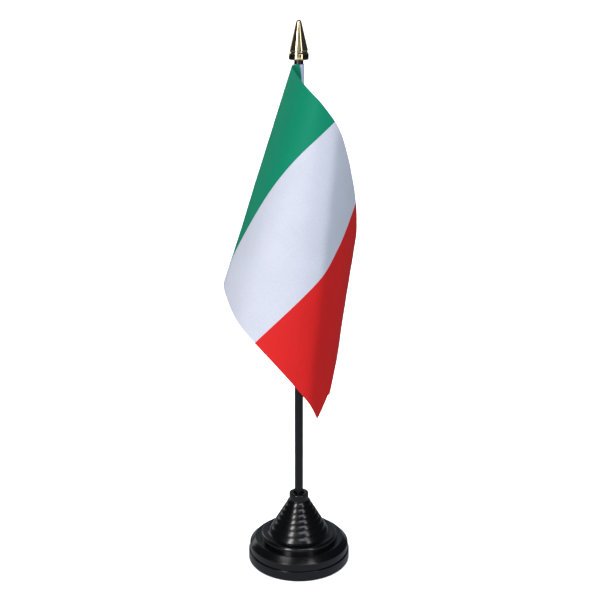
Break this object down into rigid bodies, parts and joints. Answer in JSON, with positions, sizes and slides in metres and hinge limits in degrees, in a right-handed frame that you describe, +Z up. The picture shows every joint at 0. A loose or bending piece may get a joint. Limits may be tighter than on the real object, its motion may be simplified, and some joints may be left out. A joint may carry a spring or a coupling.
{
  "type": "desk flag stand",
  "caption": "Small table flag on a slim pole with a cone-shaped metallised finial, pushed into a weighted round base with a stepped cone; the sleeved flag turns on the pole.",
  "frame": {"origin": "on the pole's axis at the underside of the foot pad, where the stand rests", "axes": "+Z up along the pole; -Y towards the front, the side that the draped flag hangs on; +X to the right seen from the front"},
  "size_m": [0.0671, 0.1035, 0.294],
  "materials": {
    "gloss_black": "glossy moulded black plastic",
    "pole_black": "semi-gloss black plastic rod",
    "gold_metallised": "plastic with a polished pale gold metallised coat",
    "ballast_steel": "bare pressed steel",
    "pad_foam": "closed-cell foam",
    "sleeve_fabric": "white woven polyester tape",
    "thread": "polyester thread, dyed green to match the stripe that it crosses",
    "flag_fabric": "fine matt woven polyester, printed in green, white and red bands"
  },
  "bodies": {
    "base": {"base_shell": "gloss_black", "bottom_cover": "gloss_black", "ballast_ring": "ballast_steel", "foot_pad": "pad_foam"},
    "pole": {"pole": "pole_black"},
    "finial": {"spear_finial": "gold_metallised"},
    "flag": {"flag_sleeve": "sleeve_fabric", "hoist_stitching": "thread", "flag_cloth": "flag_fabric"}
  },
  "joints": [
    {"name": "pole_lift", "type": "slide", "parent": "base", "child": "pole", "axis": [0, 0, 1], "range_m": [0, 0.024]},
    {"name": "finial_pull", "type": "slide", "parent": "pole", "child": "finial", "axis": [0, 0, 1], "range_m": [0, 0.0095]},
    {"name": "flag_swivel", "type": "hinge", "parent": "pole", "child": "flag", "pos_m": [0, 0, 0.2227], "axis": [0, 0, 1], "continuous": true}
  ]
}
